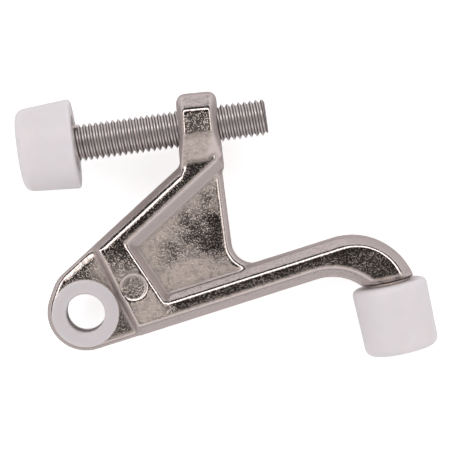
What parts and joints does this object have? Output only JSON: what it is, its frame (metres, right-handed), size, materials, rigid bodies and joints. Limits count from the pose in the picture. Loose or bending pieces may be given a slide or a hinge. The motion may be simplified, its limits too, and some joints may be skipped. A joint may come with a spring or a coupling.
{
  "type": "hinge pin door stop",
  "caption": "Plated cast door stop that fits on a hinge pin, with a screw-adjusted bumper on a tower and a capped bumper at the end of a bent arm.",
  "frame": {"origin": "on the hinge pin's axis, midway between the two faces of the eye", "axes": "+Z along the hinge pin, +X along the adjusting stud and away from its bumper, +Y from the eye towards the tower"},
  "size_m": [0.0843, 0.0648, 0.0196],
  "materials": {
    "plated_zinc": "bright nickel plating over a slightly rough die casting",
    "stud_steel": "zinc-plated steel thread",
    "bumper_plastic": "satin off-white",
    "bush_plastic": "satin off-white"
  },
  "bodies": {
    "casting": {"cast_body": "plated_zinc", "upper_bush": "bush_plastic", "lower_bush": "bush_plastic", "arm_bumper": "bumper_plastic"},
    "bumper": {"stud_bumper": "bumper_plastic"},
    "stud": {"adjusting_stud": "stud_steel"}
  },
  "joints": [
    {"name": "stud_travel", "type": "slide", "parent": "casting", "child": "bumper", "axis": [1, 0, 0], "range_m": [-0.01, 0.0175]},
    {"name": "stud_turn", "type": "hinge", "parent": "bumper", "child": "stud", "pos_m": [0, 0.0366, 0], "axis": [1, 0, 0], "range_deg": [-2880, 5040]}
  ],
  "couplings": [
    {"joint": "stud_travel", "follows": "stud_turn", "m_per_rad": 0.00019894}
  ]
}
